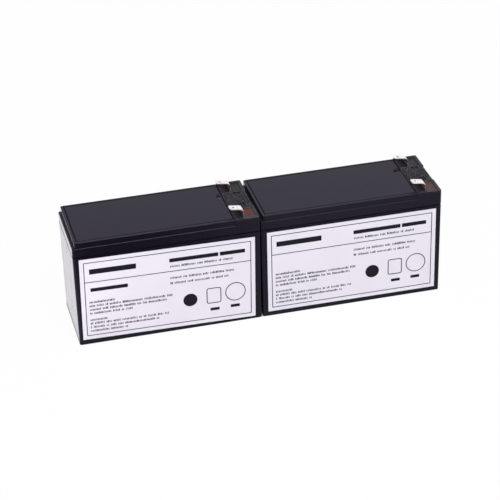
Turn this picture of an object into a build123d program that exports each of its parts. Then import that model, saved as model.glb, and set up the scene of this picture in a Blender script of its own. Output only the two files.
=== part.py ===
from build123d import *
import math
import os

os.makedirs("parts", exist_ok=True)

# Two sealed lead-acid blocks of one type stand end to end as a battery cartridge.
# Each piece is drawn in the frame of its own block: X along the block, with the terminals at +X,
# Y across it, with the label at -Y, and Z up from the underside. Sizes are in millimetres.

# Whole block
block_length = 151.0
block_width = 65.0
block_gap = 0.3  # between the two blocks, which stand against each other

# Container
container_height = 80.5  # underside to the joint with the lid
wall = 2.5
floor_thickness = 2.5
partition = 1.6
cell_columns = 3  # cells along X, in two rows
corner_radius = 1.6  # upright corners of container and lid
foot_radius = 1.0  # edge round the underside
end_draft = 0.45  # lean of each end wall, from the joint down to the underside
seam_groove_width = 1.2  # open joint line between container and lid
seam_groove_depth = 0.9

# Lid
skirt_height = 7.7  # joint to the ledge
step_height = 4.9  # ledge to the top of the rim
step_side_inset = 0.6  # of the upper part, from the long sides
step_end_inset = 1.9  # of the upper part, from the plain end
ledge_edge_radius = 0.5
rim_width = 2.0
rim_edge_radius = 0.4
deck_drop = 1.4  # ledge down to the floor of the vent chamber
deck_thickness = 2.0
shelf_length = 20.3  # terminal shelf, along X
shelf_rise = 0.7  # above the rim
shelf_edge_radius = 1.2
end_notch_depth = 1.3  # shallow notch in the terminal end, between the pockets
end_notch_margin = 1.0  # from the notch to the pockets
dimple_diameter = 6.0  # round dimple beside each pocket, for its polarity sign
dimple_depth = 0.4
dimple_setback = 8.9  # from the terminal end to the middle of a dimple
dimple_margin = 1.2  # from a dimple to the pocket beside it

# Cover plate over the vents
cover_thickness = 2.0
cover_clearance = 0.4
cover_edge_radius = 0.4
cover_seat_width = 1.5
cover_pad_height = 0.4  # pads that hold the vent caps down
cover_pad_diameter = 7.0

# Vents
chimney_diameter = 9.0
chimney_bore = 5.0
cap_wall = 1.4
cap_roof = 1.4
cap_clearance = 0.1
cap_deck_gap = 0.5
cap_end_gap = 4.0  # from the outer caps to the ends of the vent chamber
cap_edge_chamfer = 0.4

# Terminal pockets, open upwards: a hollow that slopes down under the tab, and a deep end for the seal
terminal_side_distance = 10.2  # from the long side to the middle of a tab
pocket_width = 16.8
pocket_depth = 6.0  # below the shelf, under the seal
pocket_end_wall = 3.0
hollow_depth = 1.6  # below the shelf, where the hollow meets the seal

# Push-on tabs
tab_width = 6.35
tab_thickness = 0.8
tab_rise = 6.2  # highest edge above the shelf
tab_blade_length = 11.1
tab_tilt = 7.0  # degrees, the blade rises towards its tip
tab_foot_radius = 1.4
tab_elbow_radius = 3.0  # under the blade
tab_tip_chamfer = 1.1
tab_hole_diameter = 1.8
tab_hole_setback = 3.5
length_tolerance = 0.01  # for picking edges by their length

# Resin seals and lead posts
seal_length = 9.5
seal_sink = 1.0  # below the shelf
tab_cover = 0.6  # resin in front of the tab's leg
post_diameter = 7.0
post_clearance = 0.3
post_stand = 1.0  # above the pocket floor

# Plate stacks
positive_plates_per_cell = 4  # with one more negative plate
positive_plate_thickness = 2.9
negative_plate_thickness = 1.9
stack_clearance = 0.05  # between a stack and the cell's long walls
plate_side_clearance = 1.8
mat_overlap = 0.8  # of the glass mat past the plates
lug_width = 8.0
lug_length = 3.4
lug_setback = 6.0  # from a cell's end wall to the middle of the lugs
strap_thickness = 4.0
strap_setback = 0.4  # from the outer faces of the outer lugs
riser_height = 9.0
riser_width = 12.0
riser_top_gap = 1.0  # below the container's rim
weld_diameter = 7.0
weld_clearance = 0.2

# Label on the long side
label_end_margin = 4.7
label_foot_margin = 4.1
label_seam_margin = 3.2
label_thickness = 0.12

# How each label was stuck on: shift along X, shift up and turn anticlockwise in degrees
label_places = {"left": (-0.65, -0.27, -0.89), "right": (0.1, 0.27, -0.11)}

# Heights that follow
ledge_height = container_height + skirt_height
rim_height = ledge_height + step_height
shelf_height = rim_height + shelf_rise
deck_height = ledge_height - deck_drop
ceiling_height = deck_height - deck_thickness
seat_height = rim_height - cover_thickness
cap_top = seat_height - cover_pad_height
chimney_top = cap_top - cap_roof
cap_bottom = deck_height + cap_deck_gap
pocket_floor = shelf_height - pocket_depth
hollow_floor = shelf_height - hollow_depth
post_top = pocket_floor + post_stand
seal_top = shelf_height - seal_sink
riser_top = container_height - riser_top_gap
strap_bottom = riser_top - riser_height
strap_top = strap_bottom + strap_thickness
weld_height = riser_top - riser_height / 2
plate_top = strap_bottom - lug_length

# Places along X that follow
half_length = block_length / 2
half_width = block_width / 2
upper_start = -half_length + step_end_inset
shelf_start = half_length - shelf_length
pocket_end = half_length - pocket_end_wall
seal_start = pocket_end - seal_length
leg_front = seal_start + tab_cover
post_x = half_length - wall - lug_setback
dimple_x = half_length - dimple_setback
cap_radius = chimney_diameter / 2 + cap_clearance + cap_wall
first_vent = upper_start + rim_width + cover_seat_width + cap_end_gap + cap_radius
last_vent = shelf_start - cover_seat_width - cap_end_gap - cap_radius

# Places across Y that follow
terminal_y = half_width - terminal_side_distance
pocket_inner = terminal_y - pocket_width / 2
notch_width = 2 * (pocket_inner - end_notch_margin)
dimple_y = pocket_inner - dimple_margin - dimple_diameter / 2

# Cells and stacks that follow
cell_length = (block_length - 2 * wall - (cell_columns - 1) * partition) / cell_columns
cell_width = (block_width - 2 * wall - partition) / 2
cell_pitch_x = cell_length + partition
cell_pitch_y = cell_width + partition
negative_plates_per_cell = positive_plates_per_cell + 1
plate_total = (
    positive_plates_per_cell * positive_plate_thickness + negative_plates_per_cell * negative_plate_thickness
)
mat_thickness = (cell_width - 2 * stack_clearance - plate_total) / (2 * positive_plates_per_cell)
plate_pitch = positive_plate_thickness + negative_plate_thickness + 2 * mat_thickness
plate_width = cell_length - 2 * plate_side_clearance
strap_reach = cell_length / 2 - lug_setback  # from a cell's middle to its straps
cell_middles_x = [(column - (cell_columns - 1) / 2) * cell_pitch_x for column in range(cell_columns)]
row_sides = (-1, 1)  # front row, rear row

# Both terminals are at +X, so the current runs along the front row, crosses over at the plain end and
# comes back along the rear row: the lugs of one polarity are at opposite ends of the two rows.
positive_ends = {-1: 1, 1: -1}
negative_ends = {-1: -1, 1: 1}


def cover_outline(inset):
    # Outline of the cover plate's recess, drawn in by an inset
    start = upper_start + rim_width + inset
    width = block_width - 2 * (step_side_inset + rim_width + inset)
    with BuildSketch() as outline:
        with Locations((start, 0)):
            Rectangle(shelf_start - inset - start, width, align=(Align.MIN, Align.CENTER))
    return outline.sketch


def seam_outline():
    # Ring cut in from the outside at the joint between container and lid
    core_length = block_length - 2 * seam_groove_depth
    core_width = block_width - 2 * seam_groove_depth
    with BuildSketch() as outline:
        Rectangle(block_length, block_width)
        Rectangle(core_length, core_width, mode=Mode.SUBTRACT)
    return outline.sketch


def vent_places():
    # Middles of the vents, one over each cell, spread evenly along the vent chamber
    vent_pitch = (last_vent - first_vent) / (cell_columns - 1)
    columns_x = [first_vent + column * vent_pitch for column in range(cell_columns)]
    return [(x, side * cell_pitch_y / 2) for x in columns_x for side in row_sides]


# Container: a box of six cells, with a hole in each wall that a weld goes through
with BuildPart() as container:
    with BuildSketch():
        RectangleRounded(block_length - 2 * end_draft, block_width, corner_radius)
    with BuildSketch(Plane.XY.offset(container_height)):
        RectangleRounded(block_length, block_width, corner_radius)
    loft(ruled=True)
    fillet(container.faces().sort_by(Axis.Z)[0].edges(), foot_radius)
    with BuildSketch(Plane.XY.offset(floor_thickness)):
        with GridLocations(cell_pitch_x, cell_pitch_y, cell_columns, 2):
            Rectangle(cell_length, cell_width)
    extrude(amount=container_height - floor_thickness, mode=Mode.SUBTRACT)
    with BuildSketch(Plane.XY.offset(container_height)):
        add(seam_outline())
    extrude(amount=-seam_groove_width / 2, mode=Mode.SUBTRACT)
    for cell_x in cell_middles_x[1:]:
        with BuildSketch(Plane.YZ.offset(cell_x - cell_pitch_x / 2)):
            with Locations(*[(side * cell_pitch_y / 2, weld_height) for side in row_sides]):
                Circle(weld_diameter / 2 + weld_clearance)
        extrude(amount=partition / 2, both=True, mode=Mode.SUBTRACT)
    with BuildSketch(Plane.XZ):
        with Locations((cell_middles_x[0] - strap_reach, weld_height)):
            Circle(weld_diameter / 2 + weld_clearance)
    extrude(amount=partition / 2, both=True, mode=Mode.SUBTRACT)

# Lid: skirt and terminal end in line with the container, stepped upper part, vent chamber and pockets
with BuildPart() as lid:
    with BuildSketch(Plane.XY.offset(container_height)):
        RectangleRounded(block_length, block_width, corner_radius)
    extrude(amount=skirt_height)
    fillet(lid.faces().sort_by(Axis.Z)[-1].edges(), ledge_edge_radius)
    with BuildSketch(Plane.XY.offset(container_height)) as shelf_foot:
        with Locations((shelf_start, 0)):
            Rectangle(shelf_length, block_width, align=(Align.MIN, Align.CENTER))
        fillet(shelf_foot.vertices().group_by(Axis.X)[-1], corner_radius)
    extrude(amount=shelf_height - container_height)
    shelf_edges = lid.faces().sort_by(Axis.Z)[-1].edges()
    fillet(shelf_edges - shelf_edges.filter_by_position(Axis.X, shelf_start, shelf_start), shelf_edge_radius)
    with BuildSketch(Plane.XY.offset(ledge_height)):
        with Locations((upper_start, 0)):
            Rectangle(
                shelf_start - upper_start, block_width - 2 * step_side_inset, align=(Align.MIN, Align.CENTER)
            )
    extrude(amount=step_height)
    upper_corners = lid.edges().filter_by(Axis.Z).filter_by_position(Axis.X, upper_start, upper_start)
    fillet(upper_corners, corner_radius)
    rim_edges = lid.faces().filter_by_position(Axis.Z, rim_height, rim_height).edges()
    fillet(rim_edges - rim_edges.filter_by_position(Axis.X, shelf_start, shelf_start), rim_edge_radius)

    # Underside: the cells run on into the lid, and the shelf is cored out between the pockets
    with BuildSketch(Plane.XY.offset(container_height)):
        with GridLocations(cell_pitch_x, cell_pitch_y, cell_columns, 2):
            Rectangle(cell_length, cell_width)
    extrude(amount=ceiling_height - container_height, mode=Mode.SUBTRACT)
    core_width = pocket_inner - wall - partition / 2
    with BuildSketch(Plane.XY.offset(ceiling_height)):
        with Locations(*[(shelf_start + wall, side * (partition + core_width) / 2) for side in row_sides]):
            Rectangle(shelf_length - 2 * wall, core_width, align=(Align.MIN, Align.CENTER))
    extrude(amount=shelf_height - wall - ceiling_height, mode=Mode.SUBTRACT)
    with BuildSketch(Plane.XY.offset(container_height)):
        add(seam_outline())
    extrude(amount=seam_groove_width / 2, mode=Mode.SUBTRACT)

    # Recess and seat of the cover plate, with the vent chamber below it
    with BuildSketch(Plane.XY.offset(rim_height)):
        add(cover_outline(0))
    extrude(amount=-cover_thickness, mode=Mode.SUBTRACT)
    with BuildSketch(Plane.XY.offset(seat_height)):
        add(cover_outline(cover_seat_width))
    extrude(amount=deck_height - seat_height, mode=Mode.SUBTRACT)
    with BuildSketch(Plane.XY.offset(deck_height)):
        with Locations(*vent_places()):
            Circle(chimney_diameter / 2)
    extrude(amount=chimney_top - deck_height)
    with BuildSketch(Plane.XY.offset(ceiling_height)):
        with Locations(*vent_places()):
            Circle(chimney_bore / 2)
    extrude(amount=chimney_top - ceiling_height, mode=Mode.SUBTRACT)

    # Terminal pockets
    for side in row_sides:
        with BuildSketch(Plane.XZ.offset(-side * terminal_y)):
            with BuildLine():
                Polyline(
                    (shelf_start, rim_height),
                    (seal_start, hollow_floor),
                    (seal_start, pocket_floor),
                    (pocket_end, pocket_floor),
                    (pocket_end, shelf_height),
                    (shelf_start, shelf_height),
                    close=True,
                )
            make_face()
        extrude(amount=pocket_width / 2, both=True, mode=Mode.SUBTRACT)
    with BuildSketch(Plane.XY.offset(ceiling_height)):
        with Locations(*[(post_x, side * terminal_y) for side in row_sides]):
            Circle(post_diameter / 2 + post_clearance)
    extrude(amount=pocket_floor - ceiling_height, mode=Mode.SUBTRACT)
    with BuildSketch(Plane.XY.offset(ledge_height)):
        with Locations((half_length, 0)):
            Rectangle(end_notch_depth, notch_width, align=(Align.MAX, Align.CENTER))
    extrude(amount=step_height + shelf_rise, mode=Mode.SUBTRACT)
    with BuildSketch(Plane.XY.offset(shelf_height)):
        with Locations(*[(dimple_x, side * dimple_y) for side in row_sides]):
            Circle(dimple_diameter / 2)
    extrude(amount=-dimple_depth, mode=Mode.SUBTRACT)

# Cover plate: lies flush in the rim and holds the vent caps down with a pad on each
with BuildPart() as cover_plate:
    with BuildSketch(Plane.XY.offset(seat_height)):
        add(cover_outline(cover_clearance))
    extrude(amount=cover_thickness)
    fillet(cover_plate.faces().sort_by(Axis.Z)[-1].edges(), cover_edge_radius)
    with BuildSketch(Plane.XY.offset(seat_height)):
        with Locations(*vent_places()):
            Circle(cover_pad_diameter / 2)
    extrude(amount=-cover_pad_height)

# Vent caps: a rubber cup on each chimney
with BuildPart() as vent_caps:
    with BuildSketch(Plane.XY.offset(cap_bottom)):
        with Locations(*vent_places()):
            Circle(cap_radius)
    extrude(amount=cap_top - cap_bottom)
    chamfer(vent_caps.edges().group_by(Axis.Z)[-1], cap_edge_chamfer)
    with BuildSketch(Plane.XY.offset(cap_bottom)):
        with Locations(*vent_places()):
            Circle(cap_radius - cap_wall)
    extrude(amount=chimney_top - cap_bottom, mode=Mode.SUBTRACT)


def make_tab(side):
    # Push-on tab: one bent strip, from its foot on the post up the leg and over to the blade's tip
    tilt = math.radians(tab_tilt)
    tip_x = leg_front - tab_blade_length * math.cos(tilt)
    tip_z = shelf_height + tab_rise
    elbow_z = tip_z - (leg_front + tab_thickness - tip_x) * math.tan(tilt)
    foot_x = post_x + post_diameter / 2
    with BuildPart() as tab:
        with BuildSketch(Plane.XZ.offset(-side * terminal_y)):
            with BuildLine():
                FilletPolyline(
                    (foot_x, post_top),
                    (leg_front, post_top),
                    (leg_front, elbow_z - tab_thickness),
                    (tip_x, tip_z - tab_thickness),
                    radius=[tab_foot_radius, tab_elbow_radius],
                )
                offset(amount=tab_thickness, side=Side.RIGHT)
            make_face()
        extrude(amount=tab_width / 2, both=True)
        end_edges = tab.edges().filter_by(lambda edge: abs(edge.length - tab_thickness) < length_tolerance)
        chamfer(end_edges.group_by(Axis.X)[0], tab_tip_chamfer)
        hole_x = tip_x + tab_hole_setback
        with BuildSketch(Plane.XY.offset(tip_z)):
            with Locations((hole_x, side * terminal_y)):
                Circle(tab_hole_diameter / 2)
        extrude(amount=shelf_height - tip_z, mode=Mode.SUBTRACT)
    return tab


def make_post(side):
    # Lead post from the end strap up through the pocket floor
    with BuildPart() as post:
        with BuildSketch(Plane.XY.offset(strap_top)):
            with Locations((post_x, side * terminal_y)):
                Circle(post_diameter / 2)
        extrude(amount=post_top - strap_top)
    return post


def make_seal(side, tab, post):
    # Resin cast round the tab's foot and the post, in the deep end of the pocket
    with BuildPart() as seal:
        with BuildSketch(Plane.XY.offset(pocket_floor)):
            with Locations((seal_start, side * terminal_y)):
                Rectangle(seal_length, pocket_width, align=(Align.MIN, Align.CENTER))
        extrude(amount=seal_top - pocket_floor)
        add(tab.part, mode=Mode.SUBTRACT)
        add(post.part, mode=Mode.SUBTRACT)
    return seal


def make_plates(count, thickness, lug_ends, plate_bottom):
    # Plates of one polarity in all cells, each with its lug
    with BuildPart() as plates:
        for side in row_sides:
            lug_shift = lug_ends[side] * strap_reach
            for index in range(count):
                plate_y = side * cell_pitch_y / 2 + (index - (count - 1) / 2) * plate_pitch
                with BuildSketch(Plane.XZ.offset(-plate_y)):
                    with Locations(*[(x, plate_bottom) for x in cell_middles_x]):
                        Rectangle(plate_width, plate_top - plate_bottom, align=(Align.CENTER, Align.MIN))
                    with Locations(*[(x + lug_shift, plate_top) for x in cell_middles_x]):
                        Rectangle(lug_width, lug_length, align=(Align.CENTER, Align.MIN))
                extrude(amount=thickness / 2, both=True)
    return plates


def make_straps(count, thickness, lug_ends):
    # Bars over the lugs of one polarity, each with a riser at the wall that its weld goes through
    strap_length = (count - 1) * plate_pitch + thickness - 2 * strap_setback
    riser_length = lug_setback - lug_width / 2
    with BuildPart() as straps:
        for side in row_sides:
            end = lug_ends[side]
            row_y = side * cell_pitch_y / 2
            with BuildSketch(Plane.XY.offset(strap_bottom)):
                with Locations(*[(x + end * strap_reach, row_y) for x in cell_middles_x]):
                    Rectangle(lug_width, strap_length)
            extrude(amount=strap_thickness)
            linked_cells = cell_middles_x[:-1] if end > 0 else cell_middles_x[1:]
            with BuildSketch(Plane.XY.offset(strap_bottom)):
                with Locations(*[(x + end * (cell_length - riser_length) / 2, row_y) for x in linked_cells]):
                    Rectangle(riser_length, riser_width)
            extrude(amount=riser_height)
            if end < 0:
                crossing_reach = cell_width / 2 - strap_length / 2 + riser_length
                crossing_y = side * (partition + crossing_reach) / 2
                with BuildSketch(Plane.XY.offset(strap_bottom)):
                    with Locations((cell_middles_x[0] - strap_reach, crossing_y)):
                        Rectangle(lug_width, crossing_reach)
                extrude(amount=riser_height)
    return straps


positive_tab = make_tab(-1)
negative_tab = make_tab(1)
positive_post = make_post(-1)
negative_post = make_post(1)
positive_seal = make_seal(-1, positive_tab, positive_post)
negative_seal = make_seal(1, negative_tab, negative_post)

mat_bottom = floor_thickness
positive_plates = make_plates(
    positive_plates_per_cell, positive_plate_thickness, positive_ends, mat_bottom + mat_thickness
)
negative_plates = make_plates(
    negative_plates_per_cell, negative_plate_thickness, negative_ends, floor_thickness
)
positive_straps = make_straps(positive_plates_per_cell, positive_plate_thickness, positive_ends)
negative_straps = make_straps(negative_plates_per_cell, negative_plate_thickness, negative_ends)

# Separators: a glass mat folded up round each positive plate
with BuildPart() as separators:
    mat_places = [
        side * cell_pitch_y / 2 + (index - (positive_plates_per_cell - 1) / 2) * plate_pitch
        for side in row_sides
        for index in range(positive_plates_per_cell)
    ]
    mat_top = plate_top + mat_overlap
    for cell_x in cell_middles_x:
        with BuildSketch(Plane.YZ.offset(cell_x)):
            with Locations(*[(y, mat_bottom) for y in mat_places]):
                Rectangle(
                    positive_plate_thickness + 2 * mat_thickness,
                    mat_top - mat_bottom,
                    align=(Align.CENTER, Align.MIN),
                )
            with Locations(*[(y, mat_bottom + mat_thickness) for y in mat_places]):
                Rectangle(
                    positive_plate_thickness,
                    mat_top - mat_bottom,
                    align=(Align.CENTER, Align.MIN),
                    mode=Mode.SUBTRACT,
                )
        extrude(amount=plate_width / 2 + mat_overlap, both=True)

# Intercell welds: lead run through the partitions, riser to riser
with BuildPart() as intercell_welds:
    for cell_x in cell_middles_x[1:]:
        with BuildSketch(Plane.YZ.offset(cell_x - cell_pitch_x / 2)):
            with Locations(*[(side * cell_pitch_y / 2, weld_height) for side in row_sides]):
                Circle(weld_diameter / 2)
        extrude(amount=partition / 2, both=True)
    with BuildSketch(Plane.XZ):
        with Locations((cell_middles_x[0] - strap_reach, weld_height)):
            Circle(weld_diameter / 2)
    extrude(amount=partition / 2, both=True)


def make_label(shift, lift, turn):
    # Sticker on the container's front wall
    width = block_length - 2 * label_end_margin
    height = container_height - label_foot_margin - label_seam_margin
    with BuildPart() as label:
        with BuildSketch(Plane.XZ.offset(half_width)):
            with Locations((shift, lift + label_foot_margin + height / 2)):
                Rectangle(width, height, rotation=turn)
        extrude(amount=label_thickness)
    return label


# Each block gets every piece, and its own label
block_pieces = {
    "container": container,
    "lid": lid,
    "cover_plate": cover_plate,
    "vent_caps": vent_caps,
    "positive_tab": positive_tab,
    "negative_tab": negative_tab,
    "positive_seal": positive_seal,
    "negative_seal": negative_seal,
    "positive_post": positive_post,
    "negative_post": negative_post,
    "positive_plates": positive_plates,
    "negative_plates": negative_plates,
    "separators": separators,
    "positive_straps": positive_straps,
    "negative_straps": negative_straps,
    "intercell_welds": intercell_welds,
}
block_middles = {
    "left": -(block_length + block_gap) / 2,
    "right": (block_length + block_gap) / 2,
}
for block_name, middle_x in block_middles.items():
    pieces = dict(block_pieces, label=make_label(*label_places[block_name]))
    for piece_name, piece in pieces.items():
        placed = piece.part.moved(Location((middle_x, 0, 0)))
        placed.label = f"{block_name}_{piece_name}"
        export_step(placed, f"parts/{placed.label}.step")
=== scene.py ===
import math

import bmesh
import bpy
from mathutils import Matrix, Vector


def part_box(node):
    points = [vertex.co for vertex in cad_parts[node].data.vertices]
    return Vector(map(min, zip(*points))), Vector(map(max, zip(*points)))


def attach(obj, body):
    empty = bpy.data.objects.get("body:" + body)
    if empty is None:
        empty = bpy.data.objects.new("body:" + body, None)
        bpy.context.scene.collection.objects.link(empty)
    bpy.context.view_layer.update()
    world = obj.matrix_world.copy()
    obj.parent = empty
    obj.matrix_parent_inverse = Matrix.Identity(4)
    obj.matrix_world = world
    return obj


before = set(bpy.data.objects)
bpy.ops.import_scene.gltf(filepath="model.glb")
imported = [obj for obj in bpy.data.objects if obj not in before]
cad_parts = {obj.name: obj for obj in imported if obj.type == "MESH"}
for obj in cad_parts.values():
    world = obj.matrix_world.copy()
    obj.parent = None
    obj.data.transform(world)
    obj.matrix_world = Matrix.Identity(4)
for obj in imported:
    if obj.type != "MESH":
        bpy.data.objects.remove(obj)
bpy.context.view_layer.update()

mm = 0.001  # the scene is in metres, sizes below are written in millimetres
blockNames = ("left", "right")

# Places that finishes follow, the same on both blocks: along from the plain end, across from the middle
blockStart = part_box("left_lid")[0].x
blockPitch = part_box("right_lid")[0].x - blockStart
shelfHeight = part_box("left_lid")[1].z
coverLow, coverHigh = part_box("left_cover_plate")
coverEnd = coverHigh.x - blockStart
sealLow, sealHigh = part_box("left_positive_seal")
resinStart, resinEnd = sealLow.x - blockStart, sealHigh.x - blockStart
pocketInner, pocketOuter = -sealHigh.y, -sealLow.y
print("frame loaded,", len(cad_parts), "nodes")


# Small helpers for node trees
def fillSockets(tree, node, inputs):
    for key, value in inputs.items():
        if isinstance(value, bpy.types.NodeSocket):
            tree.links.new(value, node.inputs[key])
        else:
            node.inputs[key].default_value = value


def addNode(tree, kind, inputs=None, **settings):
    node = tree.nodes.new(kind)
    for key, value in settings.items():
        setattr(node, key, value)
    fillSockets(tree, node, inputs or {})
    return node


def calc(tree, operation, first, second=0.0, clamp=False):
    node = addNode(tree, "ShaderNodeMath", {0: first, 1: second}, operation=operation, use_clamp=clamp)
    return node.outputs[0]


def product(tree, factors):
    result = factors[0]
    for factor in factors[1:]:
        result = calc(tree, "MULTIPLY", result, factor)
    return result


def mixColour(tree, factor, first, second):
    # sockets 6 and 7 and output 2 are the ones for colours
    node = addNode(tree, "ShaderNodeMix", {0: factor, 6: first, 7: second}, data_type="RGBA")
    return node.outputs[2]


def ramp(tree, value, fromMin, fromMax, toMin=0.0, toMax=1.0):
    sockets = {"Value": value, "From Min": fromMin, "From Max": fromMax, "To Min": toMin, "To Max": toMax}
    return addNode(tree, "ShaderNodeMapRange", sockets, interpolation_type="SMOOTHSTEP").outputs[0]


def swinging(tree, pattern, middle, swing):
    # follows a noise pattern, most of which lies between 0.3 and 0.7, up and down from a middle value
    return ramp(tree, pattern, 0.3, 0.7, middle - swing, middle + swing)


def noise(tree, vector, scale, detail=2.0, roughness=0.5):
    sockets = {"Vector": vector, "Scale": scale, "Detail": detail, "Roughness": roughness}
    return addNode(tree, "ShaderNodeTexNoise", sockets).outputs[0]


def voronoi(tree, vector, scale):
    return addNode(tree, "ShaderNodeTexVoronoi", {"Vector": vector, "Scale": scale}).outputs["Distance"]


def stretched(tree, vector, scale):
    return addNode(tree, "ShaderNodeMapping", {"Vector": vector, "Scale": scale}).outputs[0]


def axesOf(tree, vector):
    return addNode(tree, "ShaderNodeSeparateXYZ", {0: vector}).outputs


def vectorOf(tree, x, y, z=0.0):
    return addNode(tree, "ShaderNodeCombineXYZ", {"X": x, "Y": y, "Z": z}).outputs[0]


def bumped(tree, height, distance):
    return addNode(tree, "ShaderNodeBump", {"Height": height, "Distance": distance}).outputs[0]


def rgba(colour):
    return (*colour, 1.0)


def newMaterial(name):
    material = bpy.data.materials.new(name)
    material.use_nodes = True
    tree = material.node_tree
    objectCoords = addNode(tree, "ShaderNodeTexCoord").outputs["Object"]
    return material, tree, tree.nodes["Principled BSDF"], objectCoords


def newTree(name, kind, inputs, outputs):
    tree = bpy.data.node_groups.new(name, kind)
    for direction, sockets in (("INPUT", inputs), ("OUTPUT", outputs)):
        for socketName, socketType in sockets:
            tree.interface.new_socket(socketName, in_out=direction, socket_type="NodeSocket" + socketType)
    return tree, tree.nodes.new("NodeGroupInput").outputs, tree.nodes.new("NodeGroupOutput")


def useGroup(tree, group, inputs):
    return addNode(tree, "ShaderNodeGroup", inputs, node_tree=group).outputs


# Shared effect: the fine grain that a spark-eroded mould leaves on plastic
grainPlan = {"broadShare": 0.06}  # scale of the broad mottle against that of the grain


def mouldGrainGroup():
    inputs = [("Vector", "Vector"), ("Grain Scale", "Float")]
    outputs = [("Height", "Float"), ("Mottle", "Float")]
    group, given, result = newTree("mouldGrain", "ShaderNodeTree", inputs, outputs)
    fine = noise(group, given["Vector"], given["Grain Scale"], detail=1.5, roughness=0.6)
    broadScale = calc(group, "MULTIPLY", given["Grain Scale"], grainPlan["broadShare"])
    broad = noise(group, given["Vector"], broadScale, detail=3.0, roughness=0.55)
    fillSockets(group, result, {"Height": fine, "Mottle": broad})
    return group


# Shared effect: dust specks and faint rubbed streaks from handling
handlingPlan = {"speckScale": 420.0, "patchScale": 55.0, "streakScale": (60.0, 900.0, 900.0)}


def handlingGroup():
    inputs = [("Vector", "Vector"), ("Dust", "Float"), ("Rub", "Float")]
    outputs = [("Dust", "Float"), ("Rub", "Float")]
    group, given, result = newTree("handling", "ShaderNodeTree", inputs, outputs)
    specks = ramp(group, voronoi(group, given["Vector"], handlingPlan["speckScale"]), 0.16, 0.08)
    clouds = noise(group, given["Vector"], handlingPlan["patchScale"], detail=3.0)
    patches = ramp(group, clouds, 0.46, 0.72)
    along = stretched(group, given["Vector"], handlingPlan["streakScale"])
    streaks = ramp(group, noise(group, along, 1.0, detail=2.0), 0.60, 0.74)
    for mask, name in ((specks, "Dust"), (streaks, "Rub")):
        patchy = calc(group, "MULTIPLY", mask, patches)
        fillSockets(group, result, {name: calc(group, "MULTIPLY", patchy, given[name], clamp=True)})
    return group


mouldGrain = mouldGrainGroup()
handling = handlingGroup()
print("shared effects ready")


# Black plastics: one recipe, three surfaces
plasticMarks = {"dust": (0.16, 0.155, 0.17), "mottle": 0.2, "rubRoughness": 0.12}
caseFinish = {
    "colour": (0.0070, 0.0056, 0.0110), "roughness": 0.22, "roughSwing": 0.012, "specular": 0.16,
    "sheen": (0.83, 0.75, 1.0),  # tint of what the surface mirrors
    "grainScale": 1500.0, "grainDepth": 0.006 * mm, "dust": 0.20, "rub": 0.15,
}
lidFinish = {
    "colour": (0.0070, 0.0056, 0.0110), "roughness": 0.21, "roughSwing": 0.030, "specular": 0.17,
    "sheen": (0.83, 0.75, 1.0),
    "grainScale": 1500.0, "grainDepth": 0.008 * mm, "dust": 0.20, "rub": 0.4,
}
coverFinish = {
    "colour": (0.0070, 0.0050, 0.0126), "roughness": 0.10, "roughSwing": 0.020, "specular": 0.155,
    "sheen": (0.60, 0.45, 1.0),
    "grainScale": 1100.0, "grainDepth": 0.003 * mm, "dust": 0.20, "rub": 0.6,
    "edgeReach": 0.90 * mm, "edgeFade": 0.20 * mm, "edgeRoughness": 0.60,  # dull along the groove
}
shelfGrain = {
    "scale": 900.0, "depth": 0.22 * mm, "reach": 2.0 * mm, "fade": 0.3 * mm,  # reach is below the shelf
    "dust": 0.80, "rimShare": 0.33, "stepShare": 0.60,  # dust colour laid as painted light, most on the shaded walls round the resin
    "paintedShade": (0.009, 0.002, 0.003), "paintedShadeRoughness": 0.65, "blotchScale": 420.0,  # painted shade in the hollow under the tabs: its colour, roughness and blotches
}


def alongBlock(tree, axes):
    # distance from the plain end of the block that a point is in
    return calc(tree, "FLOORED_MODULO", calc(tree, "SUBTRACT", axes["X"], blockStart), blockPitch)


def shelfMask(tree, axes, shelf):
    # 1 on the shelf and in its hollows: past the end of the cover plate and near the top
    pastCover = ramp(tree, alongBlock(tree, axes), coverEnd, coverEnd + shelf["fade"])
    lowest = shelfHeight - shelf["reach"]
    return calc(tree, "MULTIPLY", pastCover, ramp(tree, axes["Z"], lowest, lowest + shelf["fade"]))


def pocketMasks(tree, axes, shelf):
    # painted shade in the hollow under the tab, and dust colour on the resin's walls, the outer rim and
    # the shelf's step, laid there as painted light over their shade
    along = alongBlock(tree, axes)
    across = calc(tree, "ABSOLUTE", axes["Y"])

    def turn(value, edge, fromGap, toGap):  # from 0 to 1 between two gaps past an edge, in millimetres
        return ramp(tree, value, edge + fromGap * mm, edge + toGap * mm)

    inside = product(tree, [
        turn(along, coverEnd, 0.2, 0.6), turn(along, resinEnd, 0.4, 0.2),
        turn(across, pocketInner, -0.4, -0.2), turn(across, pocketOuter, 0.4, 0.2),
        turn(axes["Z"], shelfHeight, -0.1, -0.4),
    ])
    besideResin = turn(along, resinStart, -0.3, 0.6)
    walls = calc(tree, "MULTIPLY", inside, besideResin)
    hollow = calc(tree, "SUBTRACT", inside, walls)
    # painted shade, darker towards the resin under the tab
    paintedShade = calc(tree, "MULTIPLY", hollow, ramp(tree, along, coverEnd, resinStart, 0.3, 1.0))
    rim = product(tree, [
        turn(across, pocketOuter, 0.2, 0.4), turn(axes["Z"], shelfHeight, -0.8, -0.4),
        besideResin, shelf["rimShare"],
    ])
    step = product(tree, [  # from the cover plate up to the shelf
        turn(along, coverEnd, 0.2, 0.3), turn(along, coverEnd, 0.7, 0.6),
        turn(across, pocketInner, -0.2, -0.4), turn(axes["Z"], shelfHeight, 0.0, -0.1),
        shelf["stepShare"],
    ])
    return paintedShade, calc(tree, "MAXIMUM", walls, calc(tree, "MAXIMUM", rim, step))


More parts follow.
